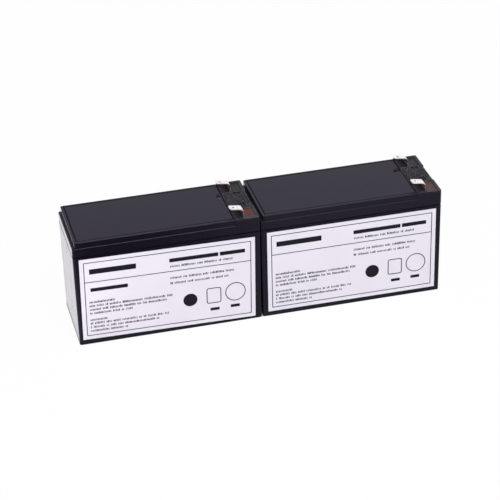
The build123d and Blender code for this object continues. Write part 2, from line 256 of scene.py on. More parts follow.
def coverEdgeMask(tree, axes, finish):
    # 1 along the outline of the cover plate
    middle = (coverLow.x + coverHigh.x) / 2 - blockStart
    along = calc(tree, "SUBTRACT", alongBlock(tree, axes), middle)
    mask = 0.0
    for offset, half in ((along, (coverHigh.x - coverLow.x) / 2), (axes["Y"], coverHigh.y)):
        inner = half - finish["edgeReach"]
        near = ramp(tree, calc(tree, "ABSOLUTE", offset), inner, inner + finish["edgeFade"])
        mask = calc(tree, "MAXIMUM", mask, near)
    return mask


def blackPlastic(name, finish, shelf=None):
    material, tree, shader, coords = newMaterial(name)
    axes = axesOf(tree, coords)
    grain = useGroup(tree, mouldGrain, {"Vector": coords, "Grain Scale": finish["grainScale"]})
    marks = useGroup(tree, handling, {"Vector": coords, "Dust": finish["dust"], "Rub": finish["rub"]})
    dust = rgba(plasticMarks["dust"])
    mottle = plasticMarks["mottle"]
    darker = rgba([channel * (1 - mottle) for channel in finish["colour"]])
    lighter = rgba([channel * (1 + mottle) for channel in finish["colour"]])
    colour = mixColour(tree, marks["Dust"], mixColour(tree, grain["Mottle"], darker, lighter), dust)
    moulded = swinging(tree, grain["Mottle"], finish["roughness"], finish["roughSwing"])
    rubbed = calc(tree, "MULTIPLY", marks["Rub"], plasticMarks["rubRoughness"])
    rough = calc(tree, "ADD", moulded, rubbed)
    normal = bumped(tree, grain["Height"], finish["grainDepth"])
    if "edgeReach" in finish:
        dull = calc(tree, "MULTIPLY", coverEdgeMask(tree, axes, finish), finish["edgeRoughness"])
        rough = calc(tree, "ADD", rough, dull)
    if shelf:  # coarse stipple, dust colour as painted light on the shaded walls, and painted shade under the tabs, on the terminal shelf alone
        cells = noise(tree, coords, shelf["scale"], detail=2.0, roughness=0.6)
        stipple = calc(tree, "MULTIPLY", ramp(tree, cells, 0.30, 0.70), shelfMask(tree, axes, shelf))
        sockets = {"Height": stipple, "Distance": shelf["depth"], "Normal": normal}
        normal = addNode(tree, "ShaderNodeBump", sockets).outputs[0]
        paintedShadeMask, greyMask = pocketMasks(tree, axes, shelf)
        # dust colour on the walls, rim and step: painted light over their shade
        colour = mixColour(tree, calc(tree, "MULTIPLY", greyMask, shelf["dust"]), colour, dust)
        # painted shade under the tabs: blotchy, and rougher there
        blotches = ramp(tree, noise(tree, coords, shelf["blotchScale"], detail=3.0), 0.35, 0.60, 0.5, 1.0)
        colour = mixColour(tree, calc(tree, "MULTIPLY", paintedShadeMask, blotches), colour, rgba(shelf["paintedShade"]))
        rough = calc(tree, "ADD", rough, calc(tree, "MULTIPLY", paintedShadeMask, shelf["paintedShadeRoughness"]))
    fillSockets(tree, shader, {
        "Base Color": colour, "Roughness": rough, "Normal": normal,
        "Specular IOR Level": finish["specular"], "Specular Tint": rgba(finish["sheen"]),
    })
    return material


# Tin plate: drawn strip, brushed along its length, with a little tarnish
tinFinish = {
    "bright": (0.94, 0.88, 0.91), "tarnish": (0.60, 0.55, 0.56), "mostTarnish": 0.7, "cloudScale": 420.0,
    "smoothest": 0.18, "roughest": 0.34, "brushScale": (300.0, 4200.0, 4200.0), "brushDepth": 0.004 * mm,
}


def tinPlate():
    finish = tinFinish
    material, tree, shader, coords = newMaterial("tinPlate")
    brushed = noise(tree, stretched(tree, coords, finish["brushScale"]), 1.0, detail=2.0)
    clouds = noise(tree, coords, finish["cloudScale"], detail=3.0)
    tarnish = ramp(tree, clouds, 0.45, 0.75, 0.0, finish["mostTarnish"])
    fillSockets(tree, shader, {
        "Base Color": mixColour(tree, tarnish, rgba(finish["bright"]), rgba(finish["tarnish"])),
        "Metallic": 1.0,
        "Roughness": ramp(tree, brushed, 0.25, 0.75, finish["smoothest"], finish["roughest"]),
        "Normal": bumped(tree, brushed, finish["brushDepth"]),
    })
    return material


# Cast resin round the terminals: red at the positive, black at the negative
# the darkest colour of each is painted shade in front of the tab's leg
redResinFinish = {
    "thin": (0.120, 0.0175, 0.016), "thick": (0.057, 0.010, 0.011), "paintedShade": (0.010, 0.003, 0.003),
    "rim": (0.070, 0.053, 0.058), "roughness": 0.40, "bump": 0.22 * mm,
}
blackResinFinish = {
    "thin": (0.010, 0.008, 0.013), "thick": (0.006, 0.005, 0.008), "paintedShade": (0.003, 0.003, 0.004),
    "rim": (0.022, 0.020, 0.024), "roughness": 0.36, "bump": 0.50 * mm,
}
resinGrain = {
    "cloudScale": 380.0, "pitScale": 720.0, "pitShare": 0.6, "speckScale": 900.0,
    "roughSwing": 0.08, "specular": 0.16,
}
resinFront = {"from": 0.6 * mm, "to": 1.5 * mm}  # painted shade on the resin in front of the tab's leg, under its blade
resinRim = {"from": 4.0 * mm, "to": 0.6 * mm, "most": 0.8}  # dust greys it near the walls
resinRight = {"most": 0.50, "fade": 10.0 * mm}  # and all over in the right block


def castResin(name, finish):
    material, tree, shader, coords = newMaterial(name)
    axes = axesOf(tree, coords)
    along = alongBlock(tree, axes)
    across = calc(tree, "ABSOLUTE", axes["Y"])
    clouds = noise(tree, coords, resinGrain["cloudScale"], detail=4.0, roughness=0.65)
    pits = ramp(tree, voronoi(tree, coords, resinGrain["pitScale"]), 0.0, 0.35)
    surface = calc(tree, "ADD", clouds, calc(tree, "MULTIPLY", pits, resinGrain["pitShare"]))
    specks = noise(tree, coords, resinGrain["speckScale"], detail=2.0)
    mottle = ramp(tree, calc(tree, "ADD", clouds, specks), 0.82, 1.16)
    cast = mixColour(tree, mottle, rgba(finish["thick"]), rgba(finish["thin"]))
    nearEnd = ramp(tree, along, resinEnd - resinRim["from"], resinEnd - resinRim["to"])
    nearSide = ramp(tree, across, pocketOuter - resinRim["from"], pocketOuter - resinRim["to"])
    nearRim = calc(tree, "MULTIPLY", calc(tree, "MAXIMUM", nearEnd, nearSide), resinRim["most"])
    onRight = ramp(tree, axes["X"], 0.0, resinRight["fade"], 0.0, resinRight["most"])
    greyMask = calc(tree, "MAXIMUM", nearRim, onRight)
    patchy = calc(tree, "MULTIPLY", greyMask, ramp(tree, specks, 0.30, 0.60, 0.5, 1.0))
    cast = mixColour(tree, patchy, cast, rgba(finish["rim"]))
    # painted shade: in front of the tab's leg the resin takes its shade colour, under the blade
    behindLeg = ramp(tree, along, resinStart + resinFront["from"], resinStart + resinFront["to"])
    fillSockets(tree, shader, {
        "Base Color": mixColour(tree, behindLeg, rgba(finish["paintedShade"]), cast),
        "Roughness": swinging(tree, clouds, finish["roughness"], resinGrain["roughSwing"]),
        "Normal": bumped(tree, surface, finish["bump"]), "Specular IOR Level": resinGrain["specular"],
    })
    return material


# Label film and its ink
filmFinish = {
    "colour": (0.812, 0.776, 0.856), "shade": (0.786, 0.752, 0.835), "cloudScale": 30.0,
    "fibreScale": (900.0, 900.0, 2600.0), "fibreDepth": 0.004 * mm,
    "roughness": 0.42, "roughSwing": 0.05, "specular": 0.35,
}
inkFinish = {
    "colour": (0.010, 0.008, 0.013), "worn": (0.024, 0.021, 0.030), "wearScale": 2600.0,
    "wearDepth": 0.003 * mm, "roughness": 0.45, "roughSwing": 0.06, "specular": 0.08,
}


def labelFilm():
    finish = filmFinish
    material, tree, shader, coords = newMaterial("labelFilm")
    fibres = noise(tree, stretched(tree, coords, finish["fibreScale"]), 1.0, detail=3.0, roughness=0.6)
    clouds = noise(tree, coords, finish["cloudScale"], detail=2.0)
    tone = calc(tree, "MULTIPLY", calc(tree, "ADD", fibres, clouds), 0.5)
    shaded = ramp(tree, tone, 0.35, 0.65)
    fillSockets(tree, shader, {
        "Base Color": mixColour(tree, shaded, rgba(finish["colour"]), rgba(finish["shade"])),
        "Roughness": swinging(tree, clouds, finish["roughness"], finish["roughSwing"]),
        "Normal": bumped(tree, fibres, finish["fibreDepth"]), "Specular IOR Level": finish["specular"],
    })
    return material


def labelInk():
    finish = inkFinish
    material, tree, shader, coords = newMaterial("labelInk")
    uneven = noise(tree, coords, finish["wearScale"], detail=2.0)
    worn = ramp(tree, uneven, 0.5, 0.8)
    fillSockets(tree, shader, {
        "Base Color": mixColour(tree, worn, rgba(finish["colour"]), rgba(finish["worn"])),
        "Roughness": swinging(tree, uneven, finish["roughness"], finish["roughSwing"]),
        "Normal": bumped(tree, uneven, finish["wearDepth"]), "Specular IOR Level": finish["specular"],
    })
    return material


# Inside the cells: lead, plates, glass mat and rubber caps
leadFinish = {
    "fresh": (0.300, 0.305, 0.320), "oxide": (0.120, 0.122, 0.130), "cloudScale": 260.0,
    "metallic": (0.95, 0.55), "roughness": (0.40, 0.66), "bump": 0.06 * mm,  # fresh, then oxide
}
plateFinishes = {
    "positivePaste": {"paste": (0.070, 0.034, 0.024), "grid": (0.120, 0.105, 0.100)},
    "negativePaste": {"paste": (0.120, 0.124, 0.132), "grid": (0.210, 0.212, 0.220)},
}
plateGrid = {  # the lead grid that shows through the paste
    "pitch": 5.0 * mm, "barFrom": 0.45 * mm, "barTo": 0.25 * mm, "rise": 0.6,
    "poreScale": 1500.0, "bump": 0.08 * mm, "roughness": (0.92, 0.62),  # paste, then grid
}
matFinish = {
    "colour": (0.800, 0.800, 0.780), "shade": (0.640, 0.640, 0.620), "bump": 0.05 * mm,
    "alongScale": (400.0, 3000.0, 5200.0), "acrossScale": (5200.0, 3000.0, 400.0),
    "roughness": (0.95, 0.80),  # between the fibres, then on them
}
rubberFinish = {
    "colour": (0.016, 0.016, 0.017), "bloom": (0.050, 0.050, 0.052), "mostBloom": 0.6,
    "grainScale": 2200.0, "bump": 0.01 * mm, "roughness": (0.62, 0.80),  # bare, then bloomed
}


def castLead():
    finish = leadFinish
    material, tree, shader, coords = newMaterial("castLead")
    clouds = noise(tree, coords, finish["cloudScale"], detail=5.0, roughness=0.65)
    oxide = ramp(tree, clouds, 0.42, 0.66)
    fillSockets(tree, shader, {
        "Base Color": mixColour(tree, oxide, rgba(finish["fresh"]), rgba(finish["oxide"])),
        "Metallic": ramp(tree, oxide, 0.0, 1.0, *finish["metallic"]),
        "Roughness": ramp(tree, oxide, 0.0, 1.0, *finish["roughness"]),
        "Normal": bumped(tree, clouds, finish["bump"]),
    })
    return material


def pastedPlate(name, finish):
    material, tree, shader, coords = newMaterial(name)
    axes = axesOf(tree, coords)
    bars = []
    for axis in ("X", "Z"):
        wave = calc(tree, "PINGPONG", axes[axis], plateGrid["pitch"] / 2)
        bars.append(ramp(tree, wave, plateGrid["barFrom"], plateGrid["barTo"]))
    gridMask = calc(tree, "MAXIMUM", *bars)
    pores = noise(tree, coords, plateGrid["poreScale"], detail=4.0, roughness=0.7)
    showing = calc(tree, "MULTIPLY", gridMask, ramp(tree, pores, 0.35, 0.60))
    height = calc(tree, "ADD", pores, calc(tree, "MULTIPLY", gridMask, plateGrid["rise"]))
    fillSockets(tree, shader, {
        "Base Color": mixColour(tree, showing, rgba(finish["paste"]), rgba(finish["grid"])),
        "Roughness": ramp(tree, showing, 0.0, 1.0, *plateGrid["roughness"]),
        "Normal": bumped(tree, height, plateGrid["bump"]),
    })
    return material


def glassMat():
    finish = matFinish
    material, tree, shader, coords = newMaterial("glassMat")
    along = noise(tree, stretched(tree, coords, finish["alongScale"]), 1.0, detail=3.0)
    across = noise(tree, stretched(tree, coords, finish["acrossScale"]), 1.0, detail=3.0)
    fibres = calc(tree, "MAXIMUM", along, across)
    lit = ramp(tree, fibres, 0.45, 0.70)
    fillSockets(tree, shader, {
        "Base Color": mixColour(tree, lit, rgba(finish["shade"]), rgba(finish["colour"])),
        "Roughness": ramp(tree, fibres, 0.4, 0.7, *finish["roughness"]),
        "Normal": bumped(tree, fibres, finish["bump"]),
    })
    return material


def capRubber():
    finish = rubberFinish
    material, tree, shader, coords = newMaterial("capRubber")
    grain = useGroup(tree, mouldGrain, {"Vector": coords, "Grain Scale": finish["grainScale"]})
    bloom = ramp(tree, grain["Mottle"], 0.45, 0.75, 0.0, finish["mostBloom"])
    fillSockets(tree, shader, {
        "Base Color": mixColour(tree, bloom, rgba(finish["colour"]), rgba(finish["bloom"])),
        "Roughness": ramp(tree, bloom, 0.0, finish["mostBloom"], *finish["roughness"]),
        "Normal": bumped(tree, grain["Height"], finish["bump"]),
    })
    return material


lidPlastic = blackPlastic("lidPlastic", lidFinish, shelfGrain)
ink = labelInk()
lead = castLead()
tin = tinPlate()
finishes = {
    "container": blackPlastic("casePlastic", caseFinish), "lid": lidPlastic,
    "cover_plate": blackPlastic("coverPlastic", coverFinish), "vent_caps": capRubber(),
    "label": labelFilm(), "separators": glassMat(), "intercell_welds": lead,
    "positive_seal": castResin("redResin", redResinFinish),
    "negative_seal": castResin("blackResin", blackResinFinish),
}
for sign in ("positive", "negative"):
    finishes[sign + "_plates"] = pastedPlate(sign + "Paste", plateFinishes[sign + "Paste"])
    finishes[sign + "_tab"] = tin
    finishes[sign + "_post"] = lead
    finishes[sign + "_straps"] = lead
for nodeName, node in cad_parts.items():
    for materialSlot in node.material_slots:
        materialSlot.material = finishes[nodeName.split("_", 1)[1]]
print("finishes on", len(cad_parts), "nodes")


# Objects and meshes
def addObject(name, data):
    item = bpy.data.objects.new(name, data)
    bpy.context.scene.collection.objects.link(item)
    return item


def addPiece(name, mesh):
    piece = addObject(name, mesh)
    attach(piece, "root")


def plainMesh(shape, name):
    mesh = bpy.data.meshes.new(name)
    shape.to_mesh(mesh)
    shape.free()
    return mesh


def joinMeshes(name, meshes, material):
    shape = bmesh.new()
    for mesh in meshes:
        shape.from_mesh(mesh)
        bpy.data.meshes.remove(mesh)
    bmesh.ops.recalc_face_normals(shape, faces=shape.faces)
    joined = plainMesh(shape, name)
    joined.materials.clear()
    joined.materials.append(material)
    return joined


# Geometry Nodes: a tree with named inputs, run once into a plain mesh
def newShapeTree(name, inputs):
    return newTree(name, "GeometryNodeTree", inputs, [("Geometry", "Geometry")])


def endTree(tree, output, geometry, material, smooth=False):
    real = addNode(tree, "GeometryNodeRealizeInstances", {"Geometry": geometry}).outputs[0]
    sockets = {"Geometry": real, "Shade Smooth": smooth}
    shaded = addNode(tree, "GeometryNodeSetShadeSmooth", sockets).outputs[0]
    sockets = {"Geometry": shaded, "Material": material}
    painted = addNode(tree, "GeometryNodeSetMaterial", sockets).outputs[0]
    fillSockets(tree, output, {"Geometry": painted})


def runTree(tree, values):
    carrier = addObject(tree.name, bpy.data.meshes.new(tree.name))
    modifier = carrier.modifiers.new(tree.name, "NODES")
    modifier.node_group = tree
    for item in tree.interface.items_tree:
        if item.in_out == "INPUT":
            modifier[item.identifier] = values[item.name]
    evaluated = carrier.evaluated_get(bpy.context.evaluated_depsgraph_get())
    mesh = bpy.data.meshes.new_from_object(evaluated)
    carrier.modifiers.remove(modifier)
    bpy.data.objects.remove(carrier)
    return mesh


def drawn(tree, low, high, sockets):
    # sockets 2 and 3 and output 1 are the ones for single numbers
    return addNode(tree, "FunctionNodeRandomValue", {2: low, 3: high, **sockets}).outputs[1]


def inkBoxes(tree, count, place, size, inked=True):
    points = addNode(tree, "GeometryNodePoints", {"Count": count}).outputs[0]
    placed = addNode(tree, "GeometryNodeSetPosition", {"Geometry": points, "Position": place}).outputs[0]
    box = addNode(tree, "GeometryNodeMeshCube", {"Size": (1.0, 1.0, 1.0)}).outputs[0]
    sockets = {"Points": placed, "Selection": inked, "Instance": box, "Scale": size}
    return addNode(tree, "GeometryNodeInstanceOnPoints", sockets).outputs[0]


barDraw = {"shortest": 0.55, "longest": 1.45}  # shares of the mean length


def barRowTree():
    # bars of drawn lengths that fill the width of the row
    inputs = [
        ("Bars", "Int"), ("Row Width", "Float"), ("Bar Height", "Float"), ("Bar Gap", "Float"),
        ("Ink Depth", "Float"), ("Seed", "Int"), ("Ink", "Material"),
    ]
    tree, given, output = newShapeTree("barRow", inputs)
    index = addNode(tree, "GeometryNodeInputIndex").outputs[0]
    draw = {"ID": index, "Seed": given["Seed"]}
    share = drawn(tree, barDraw["shortest"], barDraw["longest"], draw)
    sums = addNode(tree, "GeometryNodeAccumulateField", {"Value": share}).outputs
    gaps = calc(tree, "MULTIPLY", calc(tree, "SUBTRACT", given["Bars"], 1.0), given["Bar Gap"])
    stretch = calc(tree, "DIVIDE", calc(tree, "SUBTRACT", given["Row Width"], gaps), sums["Total"])
    barLength = calc(tree, "MULTIPLY", share, stretch)
    gapsBefore = calc(tree, "MULTIPLY", index, given["Bar Gap"])
    start = calc(tree, "ADD", calc(tree, "MULTIPLY", sums["Trailing"], stretch), gapsBefore)
    middle = calc(tree, "ADD", start, calc(tree, "MULTIPLY", barLength, 0.5))
    place = vectorOf(tree, middle, calc(tree, "MULTIPLY", given["Bar Height"], 0.5))
    size = vectorOf(tree, barLength, given["Bar Height"], given["Ink Depth"])
    endTree(tree, output, inkBoxes(tree, given["Bars"], place, size), given["Ink"])
    return tree


blockDraw = {"narrowest": 0.45, "widest": 0.80, "lowShare": 0.65, "tallExtra": 0.30}  # widths in pitches


def blockRowTree():
    # small blocks of drawn widths and two heights, with gaps between some of them
    inputs = [
        ("Blocks", "Int"), ("Pitch", "Float"), ("Block Height", "Float"), ("Gap Share", "Float"),
        ("Ink Depth", "Float"), ("Seed", "Int"), ("Ink", "Material"),
    ]
    tree, given, output = newShapeTree("blockRow", inputs)
    index = addNode(tree, "GeometryNodeInputIndex").outputs[0]

    def chance(low, high, offset, back=0.0):
        seed = calc(tree, "ADD", given["Seed"], offset)
        return drawn(tree, low, high, {"ID": calc(tree, "SUBTRACT", index, back), "Seed": seed})

    def drawnGap(back):
        return calc(tree, "LESS_THAN", chance(0.0, 1.0, 2.0, back), given["Gap Share"])

    widthShare = chance(blockDraw["narrowest"], blockDraw["widest"], 0.0)
    width = calc(tree, "MULTIPLY", widthShare, given["Pitch"])
    tall = calc(tree, "GREATER_THAN", chance(0.0, 1.0, 1.0), blockDraw["lowShare"])
    heightShare = calc(tree, "ADD", 1.0, calc(tree, "MULTIPLY", tall, blockDraw["tallExtra"]))
    height = calc(tree, "MULTIPLY", heightShare, given["Block Height"])
    middle = calc(tree, "MULTIPLY", calc(tree, "ADD", index, 0.5), given["Pitch"])
    place = vectorOf(tree, middle, calc(tree, "MULTIPLY", height, 0.5))
    size = vectorOf(tree, width, height, given["Ink Depth"])
    recentGap = calc(tree, "MAXIMUM", drawnGap(1.0), drawnGap(2.0))
    gap = calc(tree, "SUBTRACT", drawnGap(0.0), recentGap)  # never two gaps close together
    inked = calc(tree, "LESS_THAN", gap, 0.5)
    endTree(tree, output, inkBoxes(tree, given["Blocks"], place, size, inked), given["Ink"])
    return tree


def ruledFrameTree():
    inputs = [
        ("Width", "Float"), ("Height", "Float"), ("Corner Radius", "Float"), ("Corner Points", "Int"),
        ("Line Width", "Float"), ("Ink Depth", "Float"), ("Ink", "Material"),
    ]
    tree, given, output = newShapeTree("ruledFrame", inputs)

    def rectangle(width, height):
        sockets = {"Width": given[width], "Height": given[height]}
        return addNode(tree, "GeometryNodeCurvePrimitiveQuadrilateral", sockets).outputs[0]

    sockets = {
        "Curve": rectangle("Width", "Height"), "Radius": given["Corner Radius"],
        "Count": given["Corner Points"], "Limit Radius": True,
    }
    rounded = addNode(tree, "GeometryNodeFilletCurve", sockets, mode="POLY").outputs[0]
    sockets = {"Curve": rounded, "Profile Curve": rectangle("Line Width", "Ink Depth")}
    line = addNode(tree, "GeometryNodeCurveToMesh", sockets).outputs[0]
    endTree(tree, output, line, given["Ink"])
    return tree


barRow = barRowTree()
blockRow = blockRowTree()
ruledFrame = ruledFrameTree()


# Label print: a ruled border, rows of bars and small blocks, and three plain shapes.
# Places are in millimetres from the label's lower left corner.
labelPrint = {
    "inkDepth": 0.05,
    "borderInset": 3.5, "borderRadius": 0.3, "borderLine": 0.65, "dividerFoot": 51.8,
    "barGap": 1.3, "blockPitch": 1.16, "blockHeight": 1.50, "gapShare": 0.20, "denseGapShare": 0.03,
    "seed": 11, "smallSeed": 31, "denseSeed": 71, "seedStep": 3,
    # left, foot, width, bars, bar height
    "boldRows": [(7.6, 59.2, 37.4, 1, 4.6), (71.8, 60.4, 61.6, 2, 3.4)],
    "shortRows": [(104.2, 10.6, 7.6, 1, 2.6), (121.0, 11.2, 7.6, 1, 2.6)],
    "leftBlockRow": (7.9, 43.4, 29.9, 1, 3.2),  # only on the left block's label
    # left, foot, width
    "smallRows": [
        (72.2, 55.7, 51.2), (72.0, 45.1, 52.0), (72.0, 40.3, 48.0),
        (6.3, 29.5, 66.8), (6.3, 26.1, 62.4), (6.3, 22.7, 34.5),
        (6.4, 13.4, 64.8), (6.4, 10.0, 56.0), (6.4, 6.6, 30.4),
    ],
    "denseRows": [(6.3, 32.9, 20.4), (6.4, 16.7, 14.2)],
    "discPlace": (87.9, 23.3), "discDiameter": 11.6, "discPoints": 56,
    "squarePlace": (107.3, 24.6), "squareSize": (11.4, 13.6), "squareRadius": 1.6,
    "ringPlace": (125.1, 25.5), "ringDiameter": 16.2, "shapeLine": 0.75, "cornerPoints": 10,
}


def labelFrame(nodeName):
    # matrix from the label's own plane (right, up, outwards) to the scene, with the label's size
    corners = [vertex.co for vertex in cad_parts[nodeName].data.vertices]
    lowLeft = min(corners, key=lambda corner: corner.x + corner.z)
    lowRight = max(corners, key=lambda corner: corner.x - corner.z)
    highLeft = min(corners, key=lambda corner: corner.x - corner.z)
    right = (lowRight - lowLeft) * Vector((1, 0, 1))
    up = (highLeft - lowLeft) * Vector((1, 0, 1))
    size = (right.length, up.length)
    right.normalize()
    up.normalize()
    axes = Matrix((right, up, right.cross(up))).transposed().to_4x4()
    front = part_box(nodeName)[0].y
    return Matrix.Translation((lowLeft.x, front, lowLeft.z)) @ axes, size


def discMesh(diameter, depth, points):
    shape = bmesh.new()
    radii = {"radius1": diameter / 2, "radius2": diameter / 2}
    bmesh.ops.create_cone(shape, cap_ends=True, segments=points, depth=depth, **radii)
    return plainMesh(shape, "disc")


def makeLabelPrint(blockName):
    plan = labelPrint
    toScene, size = labelFrame(blockName + "_label")
    inked = {"Ink Depth": plan["inkDepth"] * mm, "Ink": ink}
    meshes = []

    def lay(mesh, right, up):
        mesh.transform(toScene @ Matrix.Translation((right * mm, up * mm, 0.0)))
        meshes.append(mesh)

    def layBars(left, foot, rowWidth, bars, barHeight, seed):
        lay(runTree(barRow, {
            "Bars": bars, "Row Width": rowWidth * mm, "Bar Height": barHeight * mm,
            "Bar Gap": plan["barGap"] * mm, "Seed": seed, **inked,
        }), left, foot)

    def layBlocks(left, foot, rowWidth, gapShare, seed):
        lay(runTree(blockRow, {
            "Blocks": round(rowWidth / plan["blockPitch"]), "Pitch": plan["blockPitch"] * mm,
            "Block Height": plan["blockHeight"] * mm, "Gap Share": gapShare, "Seed": seed, **inked,
        }), left, foot)

    def layOutline(right, up, outlineWidth, outlineHeight, radius, line):
        lay(runTree(ruledFrame, {
            "Width": outlineWidth * mm, "Height": outlineHeight * mm, "Corner Radius": radius * mm,
            "Corner Points": plan["cornerPoints"], "Line Width": line * mm, **inked,
        }), right, up)

    width, height = size[0] / mm, size[1] / mm
    inset, line = plan["borderInset"], plan["borderLine"]
    ruledWidth = width - 2 * inset
    layOutline(width / 2, height / 2, ruledWidth, height - 2 * inset, plan["borderRadius"], line)
    layBars(inset, plan["dividerFoot"], ruledWidth, 1, line, plan["seed"])
    barRows = plan["boldRows"] + plan["shortRows"]
    if blockName == "left":
        barRows = barRows + [plan["leftBlockRow"]]
    for count, barPlan in enumerate(barRows):
        layBars(*barPlan, plan["seed"] + count)
    for count, rowPlan in enumerate(plan["smallRows"]):
        layBlocks(*rowPlan, plan["gapShare"], plan["smallSeed"] + plan["seedStep"] * count)
    for count, rowPlan in enumerate(plan["denseRows"]):
        layBlocks(*rowPlan, plan["denseGapShare"], plan["denseSeed"] + plan["seedStep"] * count)
    layOutline(*plan["squarePlace"], *plan["squareSize"], plan["squareRadius"], plan["shapeLine"])
    ring = plan["ringDiameter"]
    layOutline(*plan["ringPlace"], ring, ring, ring / 2, plan["shapeLine"])
    lay(discMesh(plan["discDiameter"] * mm, inked["Ink Depth"], plan["discPoints"]), *plan["discPlace"])
    name = blockName + "_label_print"
    addPiece(name, joinMeshes(name, meshes, ink))


for blockName in blockNames:
    makeLabelPrint(blockName)
print("label print laid on", len(blockNames), "labels")


# Terminal shelf: moulded stipple, and a raised sign in each polarity dimple
shelfPlan = {
    "length": 18.0, "sideGap": 0.7, "endGap": 1.7, "spacing": 1.45, "dotSize": 1.25, "dotHeight": 0.56,
    "smallest": 0.7, "largest": 1.25, "crowding": 1.3, "seed": 4,  # shares of dot size and density
    "dimpleSetback": 8.9, "dimpleReach": 9.7, "dimpleDepth": 0.4, "dimpleClear": 3.4,
    "signReach": 3.6, "signBar": 1.0, "signEdge": 0.10,
}


def stippleTree():
    inputs = [
        ("Length", "Float"), ("Width", "Float"), ("Spacing", "Float"), ("Crowding", "Float"),
        ("Dot Size", "Float"), ("Dot Height", "Float"), ("Smallest", "Float"), ("Largest", "Float"),
        ("Front Dimple", "Vector"), ("Rear Dimple", "Vector"), ("Clear Radius", "Float"),
        ("Seed", "Int"), ("Plastic", "Material"),
    ]
    tree, given, output = newShapeTree("shelfStipple", inputs)
    sockets = {"Size X": given["Length"], "Size Y": given["Width"]}
    patch = addNode(tree, "GeometryNodeMeshGrid", sockets).outputs[0]
    cell = calc(tree, "MULTIPLY", given["Spacing"], given["Spacing"])
    densest = calc(tree, "DIVIDE", given["Crowding"], cell)
    sockets = {
        "Mesh": patch, "Distance Min": given["Spacing"], "Density Max": densest, "Seed": given["Seed"],
    }
    scattered = addNode(tree, "GeometryNodeDistributePointsOnFaces", sockets, distribute_method="POISSON")
    position = addNode(tree, "GeometryNodeInputPosition").outputs[0]
    distances = []
    for dimple in ("Front Dimple", "Rear Dimple"):
        sockets = {0: position, 1: given[dimple]}
        away = addNode(tree, "ShaderNodeVectorMath", sockets, operation="DISTANCE")
        distances.append(away.outputs["Value"])
    clear = calc(tree, "GREATER_THAN", calc(tree, "MINIMUM", *distances), given["Clear Radius"])
    varied = drawn(tree, given["Smallest"], given["Largest"], {"Seed": given["Seed"]})
    across = calc(tree, "MULTIPLY", varied, given["Dot Size"])
    size = vectorOf(tree, across, across, given["Dot Height"])
    ball = {"Radius": 0.5, "Subdivisions": 2}  # one across, scaled to the size of each dot
    dot = addNode(tree, "GeometryNodeMeshIcoSphere", ball).outputs[0]
    sockets = {"Points": scattered.outputs[0], "Selection": clear, "Instance": dot, "Scale": size}
    dots = addNode(tree, "GeometryNodeInstanceOnPoints", sockets).outputs[0]
    endTree(tree, output, dots, given["Plastic"], smooth=True)
    return tree


def signOutline(reach, bar, upright):
    end, side = reach / 2, bar / 2
    if not upright:
        return [(-end, -side), (end, -side), (end, side), (-end, side)]
    quarter = [(-end, -side), (-side, -side), (-side, -end)]  # of a plus, turned on three times
    outline = []
    while len(outline) < 4 * len(quarter):
        outline += quarter
        quarter = [(-y, x) for x, y in quarter]
    return outline


def signMesh(middle, height, upright):
    # the bar of a minus lies across the block, as the signs are read from the terminal end
    plan = shelfPlan
    shape = bmesh.new()
    corners = [
        shape.verts.new((middle.x - y * mm, middle.y + x * mm, middle.z))
        for x, y in signOutline(plan["signReach"], plan["signBar"], upright)
    ]
    foot = shape.faces.new(corners)
    raised = bmesh.ops.extrude_face_region(shape, geom=[foot])["geom"]
    top = [item for item in raised if isinstance(item, bmesh.types.BMVert)]
    bmesh.ops.translate(shape, verts=top, vec=(0, 0, height))
    rim = [edge for edge in shape.edges if all(vertex in top for vertex in edge.verts)]
    width = plan["signEdge"] * mm
    bmesh.ops.bevel(shape, geom=rim, offset=width, segments=2, affect="EDGES", profile=0.5)
    return plainMesh(shape, "sign")


shelfStipple = stippleTree()


def makeShelf(blockName):
    plan = shelfPlan
    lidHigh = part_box(blockName + "_lid")[1]
    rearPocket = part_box(blockName + "_negative_seal")[0].y
    dimpleX = lidHigh.x - plan["dimpleSetback"] * mm
    reach = plan["dimpleReach"] * mm
    middleX = lidHigh.x - (plan["endGap"] + plan["length"] / 2) * mm
    mesh = runTree(shelfStipple, {
        "Length": plan["length"] * mm, "Width": 2 * (rearPocket - plan["sideGap"] * mm),
        "Spacing": plan["spacing"] * mm, "Crowding": plan["crowding"],
        "Dot Size": plan["dotSize"] * mm, "Dot Height": plan["dotHeight"] * mm,
        "Smallest": plan["smallest"], "Largest": plan["largest"],
        "Front Dimple": (dimpleX - middleX, -reach, 0), "Rear Dimple": (dimpleX - middleX, reach, 0),
        "Clear Radius": plan["dimpleClear"] * mm, "Seed": plan["seed"], "Plastic": lidPlastic,
    })
    mesh.transform(Matrix.Translation((middleX, 0, lidHigh.z)))
    addPiece(blockName + "_shelf_stipple", mesh)
    depth = plan["dimpleDepth"] * mm
    signs = [
        signMesh(Vector((dimpleX, -reach, lidHigh.z - depth)), depth, upright=True),
        signMesh(Vector((dimpleX, reach, lidHigh.z - depth)), depth, upright=False),
    ]
    name = blockName + "_polarity_signs"
    addPiece(name, joinMeshes(name, signs, lidPlastic))


for blockName in blockNames:
    makeShelf(blockName)
print("terminal shelves stippled and signed")


